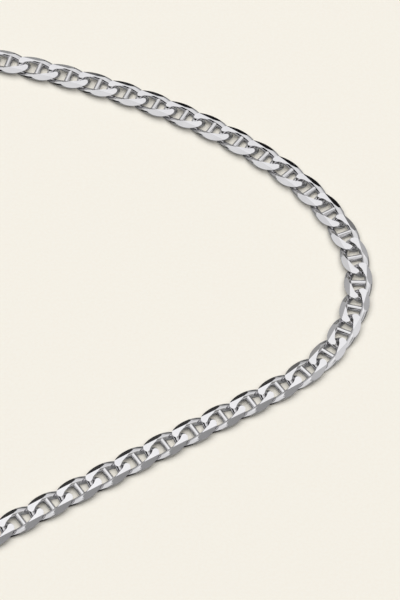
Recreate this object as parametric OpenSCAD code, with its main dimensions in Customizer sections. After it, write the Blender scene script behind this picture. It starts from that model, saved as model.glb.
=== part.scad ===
// Mariner link neck chain, lying flat in a closed loop.
// Each link is one soldered piece: an oval of pressed wire with a bar across the middle.
// The oval is gently twisted, so two opposite quarters stand high and two lie low,
// and its top, its underside and its outer shoulders are ground flat.
// Millimetres, Z up, the underside of every link at Z = 0.

/* [Link] */
// Outside length of a link, along the chain
link_l = 7.87; // [6:0.01:12]
// Outside width of a link, across the chain
link_w = 4.8; // [4:0.05:8]
// Thickness of the chain after grinding
link_t = 1.44; // [1.3:0.02:2.4]
// Squareness of the link's outside, where 2 is a plain ellipse
outer_power = 2.4; // [2:0.05:3]
// Squareness of the link's window
window_power = 2.1; // [2:0.05:3]

/* [Wire] */
// Width of the wire at the two round ends of a link, seen from above
wire_end_w = 1.05; // [0.8:0.01:1.4]
// Width of the wire at the two long sides, seen from above
wire_side_w = 1.34; // [0.8:0.01:1.6]
// Height of the wire's section at the round ends, before grinding
wire_end_h = 1.05; // [0.8:0.01:1.4]
// Height of the wire's section at the long sides, before grinding
wire_side_h = 1.26; // [0.8:0.01:1.4]
// Thickness of the bar across the middle
bar_d = 1.02; // [0.7:0.01:1.2]
// Distance that the bar lies below the middle plane
bar_drop = 0.08; // [0:0.01:0.2]
// Length of the bar that keeps its own thickness, between the two soldered ends
bar_plain_l = 1.6; // [0.6:0.1:3]

/* [Twist] */
// Height that the high quarters stand above the middle plane
wave_h = 0.71; // [0.6:0.01:1.1]
// How far the highest spots lie towards the round ends, where 0 is half way
wave_lead = 0.35; // [0:0.05:0.6]

/* [Grinding] */
// Half width of the flat ground top
flat_half_w = 1.43; // [0.8:0.01:2.2]
// Slope of the ground shoulders beside the upper flat, in degrees
shoulder_slope = 26; // [10:1:40]
// Slope of the ground shoulders on the underside, in degrees
under_slope = 40; // [10:1:45]

/* [Fit] */
// Play between the round ends of two joined links when the chain lies straight
link_play = 0.18; // [0.16:0.01:0.6]
// Length by which two links close up for each degree of turn between them
bend_gather = 0.015; // [0:0.001:0.04]

/* [Clasp] */
// Length of the clasp between the two loops at its ends
clasp_l = 9.0; // [6:0.5:16]
// Width of the clasp's plate
clasp_w = 4.4; // [3:0.1:8]
// Thickness of the clasp's plate
clasp_t = 1.3; // [1:0.05:2.4]
// Corner size of the clasp's plate
clasp_corner = 0.9; // [0.3:0.1:1.4]
// Distance that the plate reaches past the bars of its loops
clasp_reach = 0.3; // [0:0.05:0.6]

/* [Route] */
// Size of the loop that the chain lies in, as a factor
route_scale = 1.0; // [0.8:0.01:2]
// Distance along the loop from its first point to the middle of the clasp
clasp_at = -19.1; // [-40:0.1:40]

/* [Hidden] */
// The piece to draw

// Points that steer the loop, X and Y, clockwise seen from above.
// The smooth line runs close by them and closes on itself.
route_points = [
    [-91.2, 25.7], [-68.4, 57.2], [-28.9, 72.4], [2.9, 63.4], [33.1, 55.3],
    [52.7, 48.8], [71.9, 38.5], [86.2, 25.9], [93.3, 12.0], [92.5, 0.1],
    [86.6, -10.9], [76.0, -17.9], [61.1, -26.7], [43.8, -37.9], [21.7, -52.1],
    [-3.7, -68.7], [-42.5, -70.0], [-77.4, -49.0], [-95.2, -12.9]
];
route_steps = 24;

// Places round the oval where the wire's section is set, in degrees.
// The middle pair of each half stands either side of the bar.
stations = [
    15, 48, 81.6, 98.4, 132, 165,
    195, 228, 261.6, 278.4, 312, 345
];
bar_plus = 2;
bar_minus = 8;

// Places of the section's corners round the wire, from outward and then upward,
// where the wire stands high, level and low
corners_high = [-20, 32, 172, 214, 256, 298];
corners_level = [0, 60, 120, 180, 240, 300];
corners_low = [20, 62, 104, 146, 188, 328];
wire_sides = len(corners_level);

half_t = link_t / 2;

function signed_power(v, e) = sign(v) * pow(abs(v), e);

// A point at t degrees round an oval of length l and width w,
// which it reaches at the places beside its ends and its bar
function oval(l, w, power, t) = [
    l / 2 * signed_power(cos(t) / cos(stations[0]), 2 / power),
    w / 2 * signed_power(sin(t) / sin(stations[bar_plus]), 2 / power),
    0
];

function outer_edge(t) = oval(link_l, link_w, outer_power, t);

function window_edge(t) =
    oval(link_l - 2 * wire_end_w, link_w - 2 * wire_side_w, window_power, t);

// Middle line of the wire
function wire_mid(t) =
    (outer_edge(t) + window_edge(t)) / 2
        - [0, 0, wave_h * sin(2 * t) * (1 + wave_lead * cos(2 * t))];

// Half of the height of the wire's section
function half_h(t) =
    (wire_end_h + (wire_side_h - wire_end_h) * pow(sin(t), 2)) / 2;

function unit(v) = v / norm(v);

// Distance of the ground surface from the middle plane, at a distance y from
// the link's long axis, beside shoulders of a given slope
function ground_h(y, slope) =
    min(half_t, half_t - (abs(y) - flat_half_w) * tan(slope));

// A point of the wire, moved to the ground surface if it stands past it
function ground(p) = [
    p[0],
    p[1],
    max(-ground_h(p[1], under_slope), min(ground_h(p[1], shoulder_slope), p[2]))
];

function corner_angle(j, lift) =
    lift > 0
        ? corners_level[j] * (1 - lift) + corners_high[j] * lift
        : corners_level[j] * (1 + lift) - corners_low[j] * lift;

// Angle round the section at which it meets the ground flat, for a wire that lies
// z from the middle plane and whose section reaches upright to r
function flat_angle(z, r) =
    asin(max(0, min(1, (half_t - abs(z)) / r)));

// Outer and inner end of the ground flat, on a wire that is clearly high or low
function outer_end(j, lift) = lift > 0.5 && j == 1 || lift < -0.5 && j == 5;

function inner_end(j, lift) = lift > 0.5 && j == 2 || lift < -0.5 && j == 4;

function section_angle(j, lift, flat) =
    outer_end(j, lift) ? sign(lift) * flat
        : inner_end(j, lift) ? 180 - sign(lift) * flat
        : corner_angle(j, lift);

// A point past the flat's edge, moved back to it across the wire
function to_edge(p, across) =
    abs(p[1]) > flat_half_w
        ? p - across * (abs(p[1]) - flat_half_w) / abs(across[1])
        : p;

// One section of the wire
function section(t) =
    let (
        mid = wire_mid(t),
        span = (outer_edge(t) - window_edge(t)) / 2,
        across = unit(span),
        along = unit(wire_mid(t + 1) - wire_mid(t - 1)),
        rise = unit(cross(across, along)) * half_h(t),
        lift = max(-1, min(1, mid[2] / wave_h)),
        flat = flat_angle(mid[2], rise[2])
    )
    [
        for (j = [0 : wire_sides - 1])
            let (
                a = section_angle(j, lift, flat),
                p = mid + cos(a) * span + sin(a) * rise
            )
            ground(outer_end(j, lift) ? to_edge(p, across) : p)
    ];

// The wire's points, with its two halves moved apart by a stretch along X
function wire_points(stretch) = [
    for (t = stations)
        for (p = section(t))
            p + [sign(cos(t)) * stretch / 2, 0, 0]
];

// Six points round the bar at a distance y from the middle
function bar_ring(y) = [
    for (j = [0 : 5])
        [bar_d / 2 * cos(60 * j), y, bar_d / 2 * sin(60 * j) - bar_drop]
];

// Two triangles over the corners a, b, c and d
function two_triangles(a, b, c, d) = [[a, b, d], [b, c, d]];

function wire_index(k, j) =
    (k % len(stations)) * wire_sides + j % wire_sides;

function under_bar(k, j) =
    (k == bar_plus || k == bar_minus) && (j == 2 || j == 3);

// The wire's skin, with a gap left where the bar joins if the bar is wanted
function wire_faces(with_bar) = [
    for (k = [0 : len(stations) - 1])
        for (j = [0 : wire_sides - 1])
            if (!with_bar || !under_bar(k, j))
                for (f = two_triangles(
                    wire_index(k, j), wire_index(k, j + 1),
                    wire_index(k + 1, j + 1), wire_index(k + 1, j)))
                    f
];

// Corners of the gap in the wire's skin, in the bar's order.
// The first station given is the one on the +X side.
function gap_corners(k_plus, k_minus) = [
    wire_index(k_plus, 3), wire_index(k_plus, 2), wire_index(k_minus, 2),
    wire_index(k_minus, 3), wire_index(k_minus, 4), wire_index(k_plus, 4)
];

// The skin between two rings of six corners, the second nearer -Y
function band(r, s) = [
    for (j = [0 : 5])
        for (f = two_triangles(r[j], s[j], s[(j + 1) % 6], r[(j + 1) % 6]))
            f
];

wire_count = len(stations) * wire_sides;
ring_a = [for (j = [0 : 5]) wire_count + j];
ring_b = [for (j = [0 : 5]) wire_count + 6 + j];

link_points = concat(
    wire_points(0), bar_ring(bar_plain_l / 2), bar_ring(-bar_plain_l / 2));
link_faces = concat(
    wire_faces(true),
    band(gap_corners(bar_plus, bar_plus + 1), ring_a),
    band(ring_a, ring_b),
    band(ring_b, gap_corners(bar_minus + 1, bar_minus)));

// The loop as a smooth closed line of short steps
function blend(t) = [
    pow(1 - t, 3) / 6,
    (3 * pow(t, 3) - 6 * pow(t, 2) + 4) / 6,
    (-3 * pow(t, 3) + 3 * pow(t, 2) + 3 * t + 1) / 6,
    pow(t, 3) / 6
];

function steer(i) =
    route_scale * route_points[(i + len(route_points)) % len(route_points)];

route_line = [
    for (i = [0 : len(route_points) - 1])
        for (s = [0 : route_steps - 1])
            let (w = blend(s / route_steps))
            w[0] * steer(i - 1) + w[1] * steer(i)
                + w[2] * steer(i + 1) + w[3] * steer(i + 2)
];
route_n = len(route_line);

// Middle of the loop's box, so that the part stands on its own middle
route_xs = [for (p = route_line) p[0]];
route_ys = [for (p = route_line) p[1]];
route_mid = [
    (min(route_xs) + max(route_xs)) / 2,
    (min(route_ys) + max(route_ys)) / 2
];

function route_p(i) = route_line[(i + route_n) % route_n];

function step_v(i) = route_p(i + 1) - route_p(i);

function step_turn(i) =
    let (a = step_v(i - 1), b = step_v(i))
    asin(abs(a[0] * b[1] - a[1] * b[0]) / (norm(a) * norm(b)));

// Chain length used up along the line, counting the closing up in its bends
chain_at = [
    for (i = 0, s = 0;
        i <= route_n;
        s = s + norm(step_v(i)) + bend_gather * step_turn(i), i = i + 1)
        s
];
chain_l = chain_at[route_n];
table_x = [for (i = [0 : route_n]) [chain_at[i], route_p(i)[0] - route_mid[0]]];
table_y = [for (i = [0 : route_n]) [chain_at[i], route_p(i)[1] - route_mid[1]]];

function wrap(s) = s - chain_l * floor(s / chain_l);

function place(s) = [lookup(wrap(s), table_x), lookup(wrap(s), table_y)];

function heading(s) =
    let (d = place(s + link_pitch / 2) - place(s - link_pitch / 2))
    atan2(d[1], d[0]);

// Number of links that fit beside the clasp, and their even pitch
wanted_pitch = link_l - 2 * wire_end_w - link_play;
link_count = ceil((chain_l - clasp_l) / wanted_pitch) - 1;
link_pitch = (chain_l - clasp_l) / (link_count + 1);
upper_count = floor(link_count / 2);

function link_at(i) = clasp_at + clasp_l / 2 + link_pitch * (i + 1);

// Stands a piece on the loop at s, half way between the ends of its own span
module put(s, span) {
    p = (place(s - span / 2) + place(s + span / 2)) / 2;
    translate([p[0], p[1], half_t])
        rotate([0, 0, heading(s)])
            children();
}

module link() {
    polyhedron(points = link_points, faces = link_faces, convexity = 6);
}

module links(first, last) {
    for (i = [first : last])
        put(link_at(i), 0)
            link();
}

module upper_chain() {
    color([0.86, 0.87, 0.89])
        links(0, upper_count - 1);
}

module lower_chain() {
    color([0.82, 0.83, 0.86])
        links(upper_count, link_count - 1);
}

// A plain closed plate between two loops shaped like the ends of a link
module clasp() {
    plate_l = clasp_l + bar_d + 2 * clasp_reach;
    color([0.78, 0.79, 0.82])
        put(clasp_at, clasp_l + 0.75 * link_pitch) {
            polyhedron(
                points = wire_points(clasp_l),
                faces = wire_faces(false),
                convexity = 6);
            translate([0, 0, -clasp_t / 2])
                linear_extrude(clasp_t)
                    plate_outline(plate_l / 2, clasp_w / 2, clasp_corner);
        }
}

module plate_outline(x, y, c) {
    polygon([
        [x, -y + c], [x, y - c], [x - c, y], [-x + c, y],
        [-x, y - c], [-x, -y + c], [-x + c, -y], [x - c, -y]
    ]);
}

upper_chain();
lower_chain();
clasp();
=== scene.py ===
"""Visual model of a polished silver mariner link neck chain, lying flat in a closed loop.

The chain's sizes are named in millimetres, and everything is placed in metres in the frame of the
packed construction model. Each link is an oval of pressed wire with a bar soldered across it.
The oval is gently twisted, then its top, underside and outer shoulders are ground flat and polished.
"""

import logging
import math
from dataclasses import dataclass, field
from enum import Enum
from typing import Any, Mapping, Sequence

import bmesh
import bpy
from mathutils import Matrix, Vector


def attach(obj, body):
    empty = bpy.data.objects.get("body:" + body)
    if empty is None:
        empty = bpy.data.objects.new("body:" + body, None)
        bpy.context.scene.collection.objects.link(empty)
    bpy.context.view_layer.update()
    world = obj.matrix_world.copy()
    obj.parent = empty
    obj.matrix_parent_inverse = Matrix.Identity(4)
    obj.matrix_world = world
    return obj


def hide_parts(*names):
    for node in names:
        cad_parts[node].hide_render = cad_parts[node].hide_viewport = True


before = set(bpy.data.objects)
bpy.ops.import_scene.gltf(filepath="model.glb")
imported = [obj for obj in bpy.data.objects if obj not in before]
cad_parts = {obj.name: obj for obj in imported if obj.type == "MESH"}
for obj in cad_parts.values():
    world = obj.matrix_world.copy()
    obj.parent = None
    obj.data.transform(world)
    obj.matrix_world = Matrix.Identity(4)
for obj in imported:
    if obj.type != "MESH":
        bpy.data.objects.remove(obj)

LOG = logging.getLogger("mariner_chain")
MM = 0.001
SHARP_DEGREES = 20
# Numbers of the colour sockets on the Mix node, where several share a name.
MIX_FIRST, MIX_SECOND, MIX_RESULT = 6, 7, 2


class ChainHalf(Enum):
    """The two construction nodes that hold the chain's links."""

    UPPER = "upper_chain"
    LOWER = "lower_chain"


class MetalSlot(Enum):
    """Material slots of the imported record."""

    CHAIN = "chain_metal"
    CLASP = "clasp_metal"


def linear(hex_colour: str) -> tuple[float, float, float, float]:
    """Turns an sRGB colour into the linear values that shaders use.

    Args:
        hex_colour: Six hexadecimal digits, red first.

    Returns:
        Linear red, green and blue, and an alpha of one.
    """
    parts = [int(hex_colour[i : i + 2], 16) / 255 for i in (0, 2, 4)]
    red, green, blue = (
        v / 12.92 if v <= 0.04045 else ((v + 0.055) / 1.055) ** 2.4 for v in parts
    )
    return (red, green, blue, 1.0)


def add_node(
    tree: bpy.types.NodeTree,
    kind: str,
    settings: Mapping[str, Any] | None = None,
    values: Mapping[int | str, Any] | None = None,
    links: Mapping[int | str, bpy.types.NodeSocket] | None = None,
    stops: Sequence[tuple[float, Sequence[float]]] = (),
) -> bpy.types.Node:
    """Adds a node, sets it up and links its inputs.

    Args:
        tree: The node tree that gets the node.
        kind: The node's type name.
        settings: Attributes of the node itself.
        values: Default values of its inputs, by name or number.
        links: Sockets that feed its inputs, by name or number.
        stops: Position and linear colour of a colour ramp's stops, in rising order.

    Returns:
        The new node.
    """
    node = tree.nodes.new(kind)
    for name, value in (settings or {}).items():
        setattr(node, name, value)
    for key, value in (values or {}).items():
        node.inputs[key].default_value = value
    for key, socket in (links or {}).items():
        tree.links.new(socket, node.inputs[key])
    if stops:
        elements = node.color_ramp.elements
        elements[0].position, elements[0].color = stops[0]
        elements[1].position, elements[1].color = stops[-1]
        for position, colour in stops[1:-1]:
            elements.new(position).color = colour
    return node


def empty_material(name: str) -> tuple[bpy.types.Material, bpy.types.NodeTree]:
    """Makes a material with no nodes.

    Args:
        name: The material's name.

    Returns:
        The material and its node tree.
    """
    material = bpy.data.materials.new(name)
    material.use_nodes = True
    material.node_tree.nodes.clear()
    return material, material.node_tree


@dataclass(frozen=True)
class Relief:
    """One layer of fine relief on the metal, in its real size.

    detail is the number of finer layers in the noise, roughness is their strength, and stretch
    scales the noise along each axis.
    """

    size_mm: float
    depth_mm: float
    detail: float
    roughness: float
    stretch: tuple[float, float, float] = (1.0, 1.0, 1.0)


@dataclass(frozen=True)
class PolishedSilver:
    """Rhodium-plated sterling silver, ground and then polished on a soft wheel.

    The plating gives a cool, nearly white mirror. The wheel leaves a faint ripple, hair-fine
    lines and a slightly duller haze where it did not reach. Narrow recesses get painted shade.
    The hair-fine lines are drawn coarser than real ones, so that they still soften the mirror.
    """

    name: str = "rhodium_plated_polished_sterling_silver"
    bright_hex: str = "F8F7F9"
    dull_hex: str = "F1F0F2"
    mirror_roughness: float = 0.035
    haze_roughness: float = 0.085
    patch_mm: float = 3.2
    patch_colour_span: tuple[float, float] = (0.3, 0.6)
    patch_haze_span: tuple[float, float] = (0.35, 0.7)
    ripple: Relief = Relief(1.6, 0.0022, 1.0, 0.4)
    hairlines: Relief = Relief(0.06, 0.00022, 2.0, 0.5, (1.0, 0.12, 1.0))
    # Painted shade in recesses: how far to look for nearby metal, its grey stops and its samples.
    painted_shade_reach_mm: float = 0.6
    painted_shade_stops: tuple[tuple[float, float], ...] = ((0.05, 0.02), (0.22, 0.25), (0.36, 1.0))
    painted_shade_samples: int = 8

    def build(self) -> bpy.types.Material:
        """Builds the material.

        Returns:
            The finished material.
        """
        material, tree = empty_material(self.name)
        place = add_node(tree, "ShaderNodeTexCoord").outputs["Object"]
        patches = add_node(
            tree,
            "ShaderNodeTexNoise",
            values={"Scale": 1 / (self.patch_mm * MM), "Detail": 3.0, "Roughness": 0.55},
            links={"Vector": place},
        ).outputs[0]
        tones = (linear(self.dull_hex), linear(self.bright_hex))
        colour = add_node(
            tree,
            "ShaderNodeValToRGB",
            links={0: patches},
            stops=list(zip(self.patch_colour_span, tones)),
        ).outputs["Color"]
        hazy_below, mirror_above = self.patch_haze_span
        haze = add_node(
            tree,
            "ShaderNodeMapRange",
            values={
                "From Min": hazy_below,
                "From Max": mirror_above,
                "To Min": self.haze_roughness,
                "To Max": self.mirror_roughness,
            },
            links={0: patches},
        )
        shader = add_node(
            tree,
            "ShaderNodeBsdfPrincipled",
            values={"Metallic": 1.0},
            links={
                "Base Color": self._paint_recess_shade(tree, colour),
                "Roughness": haze.outputs[0],
                "Normal": self._relief_normal(tree, place),
            },
        )
        add_node(tree, "ShaderNodeOutputMaterial", links={"Surface": shader.outputs[0]})
        return material

    def _paint_recess_shade(
        self, tree: bpy.types.NodeTree, colour: bpy.types.NodeSocket
    ) -> bpy.types.NodeSocket:
        """Paints shade into the metal's colour where other metal of the piece is close in front of
        it.

        Args:
            tree: The node tree.
            colour: The colour of the open metal.

        Returns:
            The colour with painted shade in the recesses.
        """
        # Painted shade: ambient occlusion darkens the base colour where nearby metal closes it in.
        openness = add_node(
            tree,
            "ShaderNodeAmbientOcclusion",
            {"samples": self.painted_shade_samples, "only_local": True},
            values={"Distance": self.painted_shade_reach_mm * MM},
        ).outputs["AO"]
        shade = add_node(
            tree,
            "ShaderNodeValToRGB",
            links={0: openness},
            stops=[(at, (grey, grey, grey, 1.0)) for at, grey in self.painted_shade_stops],
        ).outputs["Color"]
        mixed = add_node(
            tree,
            "ShaderNodeMix",
            {"data_type": "RGBA", "blend_type": "MULTIPLY"},
            values={"Factor": 1.0},
            links={MIX_FIRST: colour, MIX_SECOND: shade},
        )
        return mixed.outputs[MIX_RESULT]

    def _relief_normal(
        self, tree: bpy.types.NodeTree, place: bpy.types.NodeSocket
    ) -> bpy.types.NodeSocket:
        """Lays the hair-fine lines over the ripple.

        Args:
            tree: The node tree.
            place: Where on the piece, in metres.

        Returns:
            The surface's direction.
        """
        below = {}
        for relief in (self.ripple, self.hairlines):
            stretched = add_node(
                tree, "ShaderNodeMapping", values={"Scale": relief.stretch}, links={0: place}
            )
            height = add_node(
                tree,
                "ShaderNodeTexNoise",
                values={
                    "Scale": 1 / (relief.size_mm * MM),
                    "Detail": relief.detail,
                    "Roughness": relief.roughness,
                },
                links={"Vector": stretched.outputs[0]},
            )
            bump = add_node(
                tree,
                "ShaderNodeBump",
                values={"Strength": 1.0, "Distance": relief.depth_mm * MM},
                links={"Height": height.outputs[0]} | below,
            )
            below = {"Normal": bump.outputs[0]}
        return below["Normal"]


@dataclass(frozen=True)
class PaleBoard:
    """Matt card with a fine tooth, so that it takes soft shadows and no shine."""

    name: str = "matt_cream_card"
    light_hex: str = "F3EEE2"
    dark_hex: str = "F2ECDF"
    tooth_mm: float = 0.5
    tooth_depth_mm: float = 0.005
    tooth_colour_span: tuple[float, float] = (0.35, 0.65)
    roughness: float = 0.9

    def build(self) -> bpy.types.Material:
        """Builds the material.

        Returns:
            The finished material.
        """
        material, tree = empty_material(self.name)
        place = add_node(tree, "ShaderNodeTexCoord").outputs["Object"]
        tooth = add_node(
            tree,
            "ShaderNodeTexNoise",
            values={"Scale": 1 / (self.tooth_mm * MM), "Detail": 3.0},
            links={"Vector": place},
        ).outputs[0]
        tones = (linear(self.dark_hex), linear(self.light_hex))
        colour = add_node(
            tree,
            "ShaderNodeValToRGB",
            links={0: tooth},
            stops=list(zip(self.tooth_colour_span, tones)),
        ).outputs["Color"]
        bump = add_node(
            tree,
            "ShaderNodeBump",
            values={"Strength": 1.0, "Distance": self.tooth_depth_mm * MM},
            links={"Height": tooth},
        )
        shader = add_node(
            tree,
            "ShaderNodeBsdfPrincipled",
            values={"Roughness": self.roughness},
            links={"Base Color": colour, "Normal": bump.outputs[0]},
        )
        add_node(tree, "ShaderNodeOutputMaterial", links={"Surface": shader.outputs[0]})
        return material


@dataclass(frozen=True)
class LoopRoute:
    """The closed line that the chain lies along, seen from above, in millimetres.

    A smooth line runs close by the steering points. Links are spaced evenly along it, and close
    up a little where it bends.
    """

    points: tuple[tuple[float, float], ...] = (
        (-91.2, 25.7), (-68.4, 57.2), (-28.9, 72.4), (2.9, 63.4), (33.1, 55.3),
        (52.7, 48.8), (71.9, 38.5), (86.2, 25.9), (93.3, 12.0), (92.5, 0.1),
        (86.6, -10.9), (76.0, -17.9), (61.1, -26.7), (43.8, -37.9), (21.7, -52.1),
        (-3.7, -68.7), (-42.5, -70.0), (-77.4, -49.0), (-95.2, -12.9),
    )
    steps: int = 24
    bend_gather: float = 0.015
    line: list[Vector] = field(init=False)
    used: list[float] = field(init=False)

    def __post_init__(self) -> None:
        """Works out the line and the chain length used up at each of its points."""
        line = self._line()
        xs, ys = [p.x for p in line], [p.y for p in line]
        middle = Vector(((min(xs) + max(xs)) / 2, (min(ys) + max(ys)) / 2))
        used = [0.0]
        for i in range(len(line)):
            step = line[(i + 1) % len(line)] - line[i]
            turn = math.degrees(abs((line[i] - line[i - 1]).angle_signed(step)))
            used.append(used[-1] + step.length + self.bend_gather * turn)
        object.__setattr__(self, "line", [p - middle for p in line])
        object.__setattr__(self, "used", used)

    def _line(self) -> list[Vector]:
        """Draws the smooth line.

        Returns:
            Its points, without the closing one.
        """
        line = []
        count = len(self.points)
        for i in range(count):
            near = [Vector(self.points[(i + k) % count]) for k in (-1, 0, 1, 2)]
            for s in range(self.steps):
                t = s / self.steps
                weights = (
                    (1 - t) ** 3,
                    3 * t**3 - 6 * t**2 + 4,
                    -3 * t**3 + 3 * t**2 + 3 * t + 1,
                    t**3,
                )
                line.append(sum((p * w / 6 for p, w in zip(near, weights)), Vector((0, 0))))
        return line

    @property
    def length(self) -> float:
        """Chain length that the whole loop uses up."""
        return self.used[-1]

    def place(self, s: float) -> Vector:
        """Finds a place on the loop.

        Args:
            s: Chain length from the loop's first point.

        Returns:
            X and Y of the place.
        """
        s %= self.length
        low, high = 0, len(self.used) - 1
        while high - low > 1:
            half = (low + high) // 2
            low, high = (half, high) if self.used[half] <= s else (low, half)
        share = (s - self.used[low]) / (self.used[high] - self.used[low])
        return self.line[low].lerp(self.line[high % len(self.line)], share)

    def heading(self, s: float, reach: float) -> float:
        """Finds the direction of the loop.

        Args:
            s: Chain length from the loop's first point.
            reach: Chain length over which the direction is taken.

        Returns:
            The direction's angle from +X, in radians.
        """
        step = self.place(s + reach / 2) - self.place(s - reach / 2)
        return math.atan2(step.y, step.x)


@dataclass(frozen=True)
class GroundLink:
    """One link: a twisted oval of pressed wire with a soldered bar, ground on its outer sides.

    Sizes are in millimetres. X runs along the chain, Y across it, and Z is 0 at half thickness.
    """

    length: float = 7.87
    width: float = 4.8
    thickness: float = 1.44
    outer_power: float = 2.4
    window_power: float = 2.1
    wire_end_width: float = 1.05
    wire_side_width: float = 1.34
    wire_end_height: float = 1.05
    wire_side_height: float = 1.26
    bar: float = 1.02
    bar_drop: float = 0.08
    wave: float = 0.71
    wave_lead: float = 0.35
    flat_half_width: float = 1.43
    shoulder_slope: float = 26.0
    under_slope: float = 40.0
    play: float = 0.18
    stations: int = 96
    sides: int = 32
    bar_sides: int = 32
    bar_rings: int = 8

    @staticmethod
    def oval(length: float, width: float, power: float, t: float) -> Vector:
        """Finds a point on a squarish oval.

        Args:
            length: The oval's length along X.
            width: The oval's width along Y.
            power: Its squareness, where 2 is a plain ellipse.
            t: Angle round the oval, in radians.

        Returns:
            The point, at height 0.
        """
        along, across = math.cos(t), math.sin(t)
        return Vector((
            length / 2 * math.copysign(abs(along) ** (2 / power), along),
            width / 2 * math.copysign(abs(across) ** (2 / power), across),
            0.0,
        ))

    def outer_edge(self, t: float) -> Vector:
        """Finds a point on the link's outline at t radians."""
        return self.oval(self.length, self.width, self.outer_power, t)

    def window_edge(self, t: float) -> Vector:
        """Finds a point on the window's outline at t radians."""
        return self.oval(
            self.length - 2 * self.wire_end_width,
            self.width - 2 * self.wire_side_width,
            self.window_power,
            t,
        )

    def wire_mid(self, t: float) -> Vector:
        """Finds the middle of the wire.

        Args:
            t: Angle round the oval, in radians.

        Returns:
            The point.
        """
        mid = (self.outer_edge(t) + self.window_edge(t)) / 2
        mid.z = -self.wave * math.sin(2 * t) * (1 + self.wave_lead * math.cos(2 * t))
        return mid

    def half_height(self, t: float) -> float:
        """Finds half of the height of the wire's section at t radians."""
        growth = (self.wire_side_height - self.wire_end_height) * math.sin(t) ** 2
        return (self.wire_end_height + growth) / 2

    def add_wire(self, bm: bmesh.types.BMesh, stretch: float = 0.0) -> None:
        """Adds the oval of wire.

        Args:
            bm: The mesh that gets it.
            stretch: How far the oval's two halves are moved apart along X.
        """
        rings = []
        nudge = 0.001
        for k in range(self.stations):
            t = 2 * math.pi * (k + 0.5) / self.stations
            mid = self.wire_mid(t)
            span = (self.outer_edge(t) - self.window_edge(t)) / 2
            along = self.wire_mid(t + nudge) - self.wire_mid(t - nudge)
            rise = span.cross(along).normalized() * self.half_height(t)
            mid.x += math.copysign(stretch / 2, math.cos(t))
            angles = (2 * math.pi * j / self.sides for j in range(self.sides))
            rings.append([
                bm.verts.new((mid + math.cos(a) * span + math.sin(a) * rise) * MM) for a in angles
            ])
        join_rings(bm, rings, closed=True)

    def add_bar(self, bm: bmesh.types.BMesh) -> None:
        """Adds the bar, which ends inside the wire of the two long sides.

        Args:
            bm: The mesh that gets it.
        """
        reach = (self.width - self.wire_side_width) / 2
        rings = []
        for k in range(self.bar_rings + 1):
            y = reach * (2 * k / self.bar_rings - 1)
            angles = (2 * math.pi * j / self.bar_sides for j in range(self.bar_sides))
            rings.append([
                bm.verts.new(
                    Vector((
                        self.bar / 2 * math.cos(a),
                        y,
                        self.bar / 2 * math.sin(a) - self.bar_drop,
                    )) * MM
                )
                for a in angles
            ])
        join_rings(bm, rings, closed=False)

    def grind(self, bm: bmesh.types.BMesh) -> None:
        """Cuts the flat top and underside and the four sloping shoulders.

        Args:
            bm: The mesh that is cut.
        """
        for side, degrees in ((1, self.shoulder_slope), (-1, self.under_slope)):
            slope = math.radians(degrees)
            height = side * self.thickness / 2 * MM
            cut(bm, Vector((0, 0, height)), Vector((0, 0, side)))
            for edge in (1, -1):
                normal = Vector((0, edge * math.sin(slope), side * math.cos(slope)))
                cut(bm, Vector((0, edge * self.flat_half_width * MM, height)), normal)

    def mesh(self) -> bmesh.types.BMesh:
        """Makes the whole link.

        Returns:
            A mesh in metres, which the caller frees.
        """
        bm = bmesh.new()
        self.add_wire(bm)
        self.grind(bm)
        self.add_bar(bm)
        return bm


def join_rings(
    bm: bmesh.types.BMesh, rings: Sequence[Sequence[bmesh.types.BMVert]], closed: bool
) -> None:
    """Skins a row of rings and turns the faces outward.

    Args:
        bm: The mesh that holds the rings.
        rings: Rings of equally many corners.
        closed: True if the last ring meets the first, False if both ends are capped.
    """
    faces = []
    count = len(rings[0])
    pairs = list(zip(rings, rings[1:])) + ([(rings[-1], rings[0])] if closed else [])
    for first, second in pairs:
        for j in range(count):
            k = (j + 1) % count
            faces.append(bm.faces.new((first[j], first[k], second[k], second[j])))
    if not closed:
        faces += [bm.faces.new(rings[0]), bm.faces.new(rings[-1])]
    bmesh.ops.recalc_face_normals(bm, faces=faces)


def cut(bm: bmesh.types.BMesh, point: Vector, normal: Vector) -> None:
    """Cuts away what lies past a plane and closes the cuts.

    Args:
        bm: The mesh that is cut.
        point: A point of the plane.
        normal: The plane's normal, towards what is cut away.
    """
    everything = bm.verts[:] + bm.edges[:] + bm.faces[:]
    result = bmesh.ops.bisect_plane(
        bm, geom=everything, plane_co=point, plane_no=normal, clear_outer=True
    )
    edges = [e for e in result["geom_cut"] if isinstance(e, bmesh.types.BMEdge)]
    if edges:
        bmesh.ops.triangle_fill(bm, use_beauty=True, edges=edges, normal=normal)


def new_piece(
    name: str, bm: bmesh.types.BMesh, material: bpy.types.Material, node: str
) -> bpy.types.Object:
    """Makes a piece of the object that stands for a construction node.

    Args:
        name: The piece's name.
        bm: Its mesh in metres, which is freed.
        material: Its material.
        node: The construction node it stands for.

    Returns:
        The piece.
    """
    mesh = bpy.data.meshes.new(name)
    bm.to_mesh(mesh)
    bm.free()
    mesh.materials.append(material)
    mesh.polygons.foreach_set("use_smooth", [True] * len(mesh.polygons))
    mesh.set_sharp_from_angle(angle=math.radians(SHARP_DEGREES))
    piece = bpy.data.objects.new(name, mesh)
    bpy.context.scene.collection.objects.link(piece)
    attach(piece, "root")
    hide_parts(node)
    return piece


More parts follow.
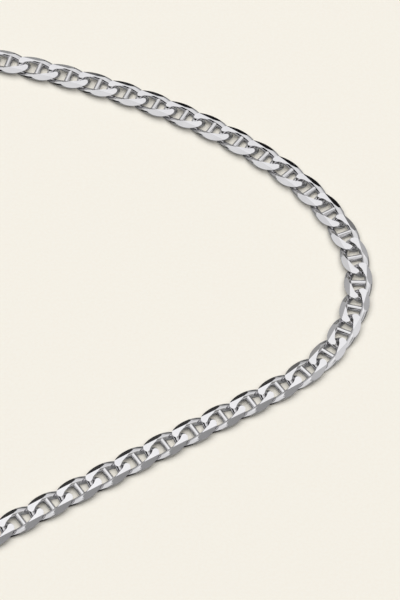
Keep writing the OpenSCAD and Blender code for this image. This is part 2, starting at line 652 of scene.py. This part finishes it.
@dataclass
class NeckChain:
    """All the links and the clasp, laid along the route."""

    route: LoopRoute
    link: GroundLink
    silver: bpy.types.Material
    clasp_length: float = 9.0
    clasp_at: float = -19.1
    runs_per_half: int = 2

    @property
    def wanted_pitch(self) -> float:
        """Distance between links that leaves the wanted play."""
        return self.link.length - 2 * self.link.wire_end_width - self.link.play

    @property
    def count(self) -> int:
        """Number of links beside the clasp."""
        return math.ceil((self.route.length - self.clasp_length) / self.wanted_pitch) - 1

    @property
    def pitch(self) -> float:
        """Even distance between links along the route."""
        return (self.route.length - self.clasp_length) / (self.count + 1)

    def stand(self, s: float, span: float = 0.0) -> Matrix:
        """Finds where a piece stands.

        Args:
            s: Its place along the route.
            span: Length between whose ends it stands half way.

        Returns:
            The matrix that moves it there, in metres.
        """
        spot = (self.route.place(s - span / 2) + self.route.place(s + span / 2)) / 2
        move = Matrix.Translation(Vector((spot.x, spot.y, self.link.thickness / 2)) * MM)
        return move @ Matrix.Rotation(self.route.heading(s, self.pitch), 4, "Z")

    def build(self) -> list[bpy.types.Object]:
        """Builds the links, in a few long runs that each stand for half of the chain.

        Returns:
            The pieces.
        """
        upper = self.count // 2
        halves = {
            ChainHalf.UPPER: range(0, upper),
            ChainHalf.LOWER: range(upper, self.count),
        }
        pattern = bpy.data.meshes.new("link_pattern")
        one = self.link.mesh()
        one.to_mesh(pattern)
        one.free()
        pieces = []
        for half, numbers in halves.items():
            share = math.ceil(len(numbers) / self.runs_per_half)
            for run in range(self.runs_per_half):
                bm = bmesh.new()
                for i in numbers[run * share : (run + 1) * share]:
                    self._add_link(bm, pattern, i)
                name = f"{half.value}_run_{run + 1}"
                pieces.append(new_piece(name, bm, self.silver, half.value))
        bpy.data.meshes.remove(pattern)
        return pieces

    def _add_link(self, bm: bmesh.types.BMesh, pattern: bpy.types.Mesh, number: int) -> None:
        """Adds one link to a run.

        Args:
            bm: The run's mesh.
            pattern: The link in its own place.
            number: The link's number, counted from the clasp.
        """
        first = len(bm.verts)
        bm.from_mesh(pattern)
        bm.verts.ensure_lookup_table()
        at = self.clasp_at + self.clasp_length / 2 + self.pitch * (number + 1)
        bmesh.ops.transform(bm, matrix=self.stand(at), verts=bm.verts[first:])


@dataclass
class PlateClasp:
    """A plain closed plate between two loops shaped like the ends of a link."""

    chain: NeckChain
    silver: bpy.types.Material
    width: float = 4.4
    thickness: float = 1.3
    corner: float = 0.9
    reach: float = 0.3
    edge: float = 0.18
    stand_share: float = 0.75
    edge_steps: int = 12
    corner_steps: int = 8

    def build(self) -> bpy.types.Object:
        """Builds the clasp.

        Returns:
            The piece.
        """
        link, length = self.chain.link, self.chain.clasp_length
        bm = bmesh.new()
        link.add_wire(bm, stretch=length)
        link.grind(bm)
        self._add_plate(bm, length / 2 + link.bar / 2 + self.reach)
        span = length + self.stand_share * self.chain.pitch
        at = self.chain.stand(self.chain.clasp_at, span)
        bmesh.ops.transform(bm, matrix=at, verts=bm.verts[:])
        return new_piece("clasp_plate_and_loops", bm, self.silver, "clasp")

    def _add_plate(self, bm: bmesh.types.BMesh, half_length: float) -> None:
        """Adds the plate, with round corners and softly rounded edges.

        Args:
            bm: The mesh that gets it.
            half_length: Half of the plate's length.
        """
        profile = []
        for k in range(self.edge_steps + 1):
            a = math.pi * (k / self.edge_steps - 0.5)
            lift = math.copysign(max(0.0, self.thickness / 2 - self.edge), math.sin(a))
            profile.append((self.edge * (1 - math.cos(a)), lift + self.edge * math.sin(a)))
        rings = []
        for inset, z in profile:
            ring = []
            for x_side, y_side, start in ((1, 1, 0), (-1, 1, 90), (-1, -1, 180), (1, -1, 270)):
                for j in range(self.corner_steps + 1):
                    a = math.radians(start + 90 * j / self.corner_steps)
                    radius = self.corner - inset
                    x = x_side * (half_length - self.corner) + radius * math.cos(a)
                    y = y_side * (self.width / 2 - self.corner) + radius * math.sin(a)
                    ring.append(bm.verts.new((x * MM, y * MM, z * MM)))
            rings.append(ring)
        join_rings(bm, rings, closed=False)


@dataclass(frozen=True)
class PaleFloor:
    """The plain surface that the chain lies on, and a grey card that only the metal sees.

    The card lies a hair above the floor. It keeps the metal's undersides a cool dark grey.
    """

    side: float = 1.6
    thickness: float = 0.004
    card_lift: float = 0.000005

    def build(self) -> None:
        """Builds both sheets."""
        floor = self._sheet("pale_floor", 0.0, PaleBoard())
        floor.visible_glossy = False
        card = self._sheet(
            "grey_card", self.card_lift, PaleBoard("matt_grey_card", "989895", "929290")
        )
        card.visible_camera = False
        card.visible_diffuse = False
        card.visible_shadow = False
        card.visible_transmission = False

    def _sheet(self, name: str, top: float, board: PaleBoard) -> bpy.types.Object:
        """Builds one flat sheet.

        Args:
            name: The sheet's name.
            top: Height of its upper face.
            board: Its finish.

        Returns:
            The sheet.
        """
        bm = bmesh.new()
        bmesh.ops.create_cube(
            bm,
            size=1.0,
            matrix=Matrix.Translation((0, 0, top - self.thickness / 2))
            @ Matrix.Diagonal((self.side, self.side, self.thickness, 1)),
        )
        mesh = bpy.data.meshes.new(name)
        bm.to_mesh(mesh)
        bm.free()
        mesh.materials.append(board.build())
        sheet = bpy.data.objects.new(name, mesh)
        bpy.context.scene.collection.objects.link(sheet)
        return sheet


@dataclass(frozen=True)
class SoftPanel:
    """One soft round patch of the studio's light, seen from the object.

    core and rim are the cosines, seen from the patch's middle, where it is full and where it ends.
    """

    towards: tuple[float, float, float]
    core: float
    rim: float
    value: float


@dataclass(frozen=True)
class SoftLamp:
    """A wide soft lamp that lights the floor but does not show in the metal."""

    name: str
    at: tuple[float, float, float]
    side: float
    power: float
    hex_colour: str
    lit_spot: tuple[float, float, float] = (0.066, 0.0, 0.0)

    def build(self) -> None:
        """Builds the lamp, turned towards the middle of the shown chain."""
        lamp = bpy.data.lights.new(self.name, "AREA")
        lamp.shape = "SQUARE"
        lamp.size = self.side
        lamp.energy = self.power
        lamp.color = linear(self.hex_colour)[:3]
        holder = bpy.data.objects.new(self.name, lamp)
        holder.location = self.at
        aim = Vector(self.lit_spot) - holder.location
        holder.rotation_euler = aim.to_track_quat("-Z", "Y").to_euler()
        holder.visible_glossy = False
        bpy.context.scene.collection.objects.link(holder)


@dataclass(frozen=True)
class SoftStudio:
    """A plain light tent that shows in the metal, and a soft lamp that lights the floor.

    The tent is brightest high up and dark along its foot.
    """

    heights: tuple[tuple[float, str], ...] = (
        (-1.0, "60605E"), (0.0, "060505"), (0.12, "3A3938"), (0.2, "949390"),
        (0.26, "9C9B99"), (0.32, "9C9B99"), (0.4, "7A7973"), (0.48, "6A6965"),
        (0.54, "D3D3D1"), (0.65, "E2E2E2"), (0.75, "D6D6D7"), (0.85, "DDDDDD"),
        (1.0, "E0E0E0"),
    )
    panels: tuple[SoftPanel, ...] = (
        SoftPanel((-0.12, 0.42, 0.90), 0.99, 0.925, 0.97),
        SoftPanel((-0.58, -0.79, -0.19), 0.558, 0.518, 0.0),
        SoftPanel((0.44, -0.20, 0.88), 1.0, 0.947, 0.28),
        SoftPanel((0.32, 0.93, 0.15), 0.985, 0.955, 0.01),
        SoftPanel((-0.64, 0.67, 0.38), 0.975, 0.94, 0.41),
        SoftPanel((0.61, 0.63, 0.49), 0.975, 0.94, 0.43),
    )
    lamps: tuple[SoftLamp, ...] = (
        SoftLamp("ceiling_lamp", (0.066, 0.05, 0.9), 1.9, 21.2, "F9FAFC"),
    )

    def build(self) -> None:
        """Builds the tent and the lamps."""
        scene = bpy.context.scene
        scene.world = bpy.data.worlds.new("soft_studio")
        scene.world.use_nodes = True
        scene.world.cycles_visibility.diffuse = False
        tree = scene.world.node_tree
        tree.nodes.clear()
        place = add_node(tree, "ShaderNodeTexCoord").outputs["Generated"]
        towards = add_node(
            tree, "ShaderNodeVectorMath", {"operation": "NORMALIZE"}, links={0: place}
        ).outputs[0]
        height = add_node(tree, "ShaderNodeSeparateXYZ", links={0: towards}).outputs["Z"]
        rise = add_node(
            tree, "ShaderNodeMapRange", values={"From Min": -1.0, "From Max": 1.0}, links={0: height}
        ).outputs[0]
        light = add_node(
            tree,
            "ShaderNodeValToRGB",
            links={0: rise},
            stops=[((z + 1) / 2, linear(tone)) for z, tone in self.heights],
        ).outputs["Color"]
        for panel in self.panels:
            light = self._panel(tree, towards, light, panel)
        sky = add_node(tree, "ShaderNodeBackground", links={"Color": light})
        add_node(tree, "ShaderNodeOutputWorld", links={"Surface": sky.outputs[0]})
        for lamp in self.lamps:
            lamp.build()

    @staticmethod
    def _panel(
        tree: bpy.types.NodeTree,
        towards: bpy.types.NodeSocket,
        below: bpy.types.NodeSocket,
        panel: SoftPanel,
    ) -> bpy.types.NodeSocket:
        """Lays one soft patch over the tent's light.

        Args:
            tree: The world's node tree.
            towards: The direction looked in.
            below: The light so far.
            panel: The patch.

        Returns:
            The light with the patch.
        """
        middle = Vector(panel.towards).normalized()
        near = add_node(
            tree,
            "ShaderNodeVectorMath",
            {"operation": "DOT_PRODUCT"},
            values={1: middle},
            links={0: towards},
        )
        share = add_node(
            tree,
            "ShaderNodeMapRange",
            {"interpolation_type": "SMOOTHSTEP"},
            values={"From Min": panel.rim, "From Max": panel.core},
            links={0: near.outputs["Value"]},
        )
        value = panel.value
        mixed = add_node(
            tree,
            "ShaderNodeMix",
            {"data_type": "RGBA"},
            values={MIX_SECOND: (value, value, value, 1.0)},
            links={0: share.outputs[0], MIX_FIRST: below},
        )
        return mixed.outputs[MIX_RESULT]


@dataclass(frozen=True)
class StillCamera:
    """The camera: a long lens from the near side, looking down on the narrow end of the loop."""

    target_mm: tuple[float, float, float] = (65.83, 2.51, 1.025)
    distance_mm: float = 782.9
    elevation: float = 52.5
    lens_mm: float = 278.1
    sensor_mm: float = 36.0
    nearest: float = 0.01
    farthest: float = 10.0

    def build(self) -> None:
        """Builds the camera and makes it the scene's own."""
        data = bpy.data.cameras.new("still_camera")
        data.sensor_width = self.sensor_mm
        data.lens = self.lens_mm
        data.clip_start, data.clip_end = self.nearest, self.farthest
        tilt = math.radians(self.elevation)
        away = Vector((0, -math.cos(tilt), math.sin(tilt))) * self.distance_mm
        camera = bpy.data.objects.new("still_camera", data)
        camera.location = (Vector(self.target_mm) + away) * MM
        camera.rotation_euler = (math.pi / 2 - tilt, 0, 0)
        bpy.context.scene.collection.objects.link(camera)
        bpy.context.scene.camera = camera


def main() -> None:
    """Builds the chain, its floor, light and camera."""
    logging.basicConfig(level=logging.INFO, format="%(name)s: %(message)s")
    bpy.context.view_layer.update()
    StillCamera().build()
    silver = PolishedSilver().build()
    chain = NeckChain(LoopRoute(), GroundLink(), silver)
    pieces = chain.build()
    LOG.info("%d links at a pitch of %.3f mm", chain.count, chain.pitch)
    pieces.append(PlateClasp(chain, silver).build())
    for piece in pieces:
        LOG.info("%s: %d faces", piece.name, len(piece.data.polygons))
    PaleFloor().build()
    SoftStudio().build()
    bpy.context.scene.view_settings.view_transform = "Standard"


if __name__ == "__main__":
    main()
